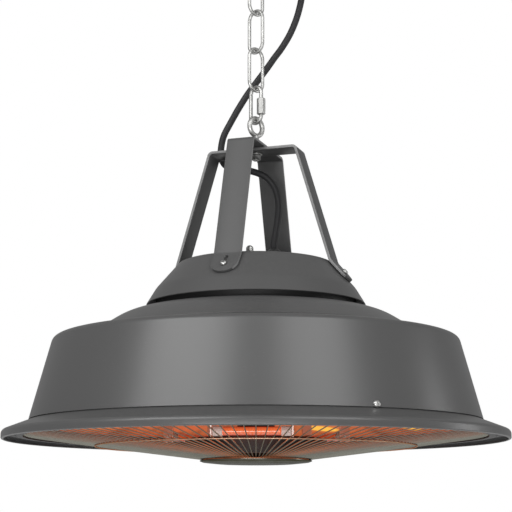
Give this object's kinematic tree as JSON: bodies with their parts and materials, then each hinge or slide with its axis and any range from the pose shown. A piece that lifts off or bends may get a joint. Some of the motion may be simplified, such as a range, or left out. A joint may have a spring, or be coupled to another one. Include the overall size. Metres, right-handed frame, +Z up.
{
  "type": "hanging patio heater",
  "caption": "Hanging electric patio heater: stepped sheet-metal shade on crossed straps, eye bolt, quick link and chain, lamps above a radial wire grille",
  "frame": {"origin": "middle of the ceiling plate's flat top face", "axes": "+Z up toward the ceiling, -Y toward the viewer of the picture, +X to the viewer's right"},
  "size_m": [0.535, 0.535, 0.5881],
  "materials": {
    "grey_paint": "satin",
    "black_paint": "matte",
    "black_plastic": "matte",
    "aluminium": "polished",
    "quartz_lamp": "glossy",
    "rubber_cord": "matte",
    "grille_steel": "satin",
    "zinc_steel": "bright"
  },
  "bodies": {
    "ceiling_fixing": {"ceiling_plate": "zinc_steel", "ceiling_hook": "zinc_steel", "cord_grip": "black_plastic"},
    "link_3": {"link_3": "zinc_steel", "cord_6": "rubber_cord"},
    "link_2": {"link_2": "zinc_steel", "cord_5": "rubber_cord"},
    "link_1": {"link_1": "zinc_steel", "cord_4": "rubber_cord"},
    "quick_link": {"quick_link": "zinc_steel", "cord_3": "rubber_cord"},
    "sleeve": {"quick_link_sleeve": "zinc_steel"},
    "heater": {"cable_gland": "black_plastic", "centre_hub": "black_paint", "cord_1": "rubber_cord", "cord_2": "rubber_cord", "dome_cover": "grey_paint", "eye_bolt": "zinc_steel", "eye_nut": "zinc_steel", "eye_washer": "zinc_steel", "grille": "grille_steel", "grille_cap": "grille_steel", "grille_frame": "black_paint", "grille_mid_ring": "grille_steel", "lamp_1": "quartz_lamp", "lamp_2": "quartz_lamp", "lamp_3": "quartz_lamp", "lamp_bracket_1": "aluminium", "lamp_bracket_2": "aluminium", "lamp_bracket_3": "aluminium", "neck_ring": "black_paint", "reflector": "aluminium", "rim_ring": "grey_paint", "rim_screw_1": "zinc_steel", "rim_screw_2": "zinc_steel", "rim_screw_3": "zinc_steel", "shade_drum": "grey_paint", "shoulder_cover": "grey_paint", "strap_front_back": "grey_paint", "strap_screw_1": "zinc_steel", "strap_screw_2": "zinc_steel", "strap_screw_3": "zinc_steel", "strap_screw_4": "zinc_steel", "strap_side_side": "grey_paint", "top_cap_nut": "zinc_steel"}
  },
  "joints": [
    {"name": "link_3_swing", "type": "hinge", "parent": "ceiling_fixing", "child": "link_3", "pos_m": [0, 0, -0.0404], "axis": [0.7071, -0.7071, 0], "range_deg": [-45, 45], "deforming": ["cord_6"]},
    {"name": "link_2_swing", "type": "hinge", "parent": "link_3", "child": "link_2", "pos_m": [0, 0, -0.0844], "axis": [0.7071, 0.7071, 0], "range_deg": [-45, 45], "deforming": ["cord_5"]},
    {"name": "link_1_swing", "type": "hinge", "parent": "link_2", "child": "link_1", "pos_m": [0, 0, -0.129], "axis": [0.7071, -0.7071, 0], "range_deg": [-45, 45], "deforming": ["cord_4"]},
    {"name": "quick_link_swing", "type": "hinge", "parent": "link_1", "child": "quick_link", "pos_m": [0, 0, -0.1736], "axis": [0.7071, 0.7071, 0], "range_deg": [-45, 45], "deforming": ["cord_3"]},
    {"name": "heater_swing", "type": "hinge", "parent": "quick_link", "child": "heater", "pos_m": [0, 0, -0.2107], "axis": [0.7071, -0.7071, 0], "range_deg": [-45, 45], "deforming": ["cord_2"]},
    {"name": "sleeve_slide", "type": "slide", "parent": "quick_link", "child": "sleeve", "axis": [0, 0, 1], "range_m": [0, 0.006]}
  ]
}
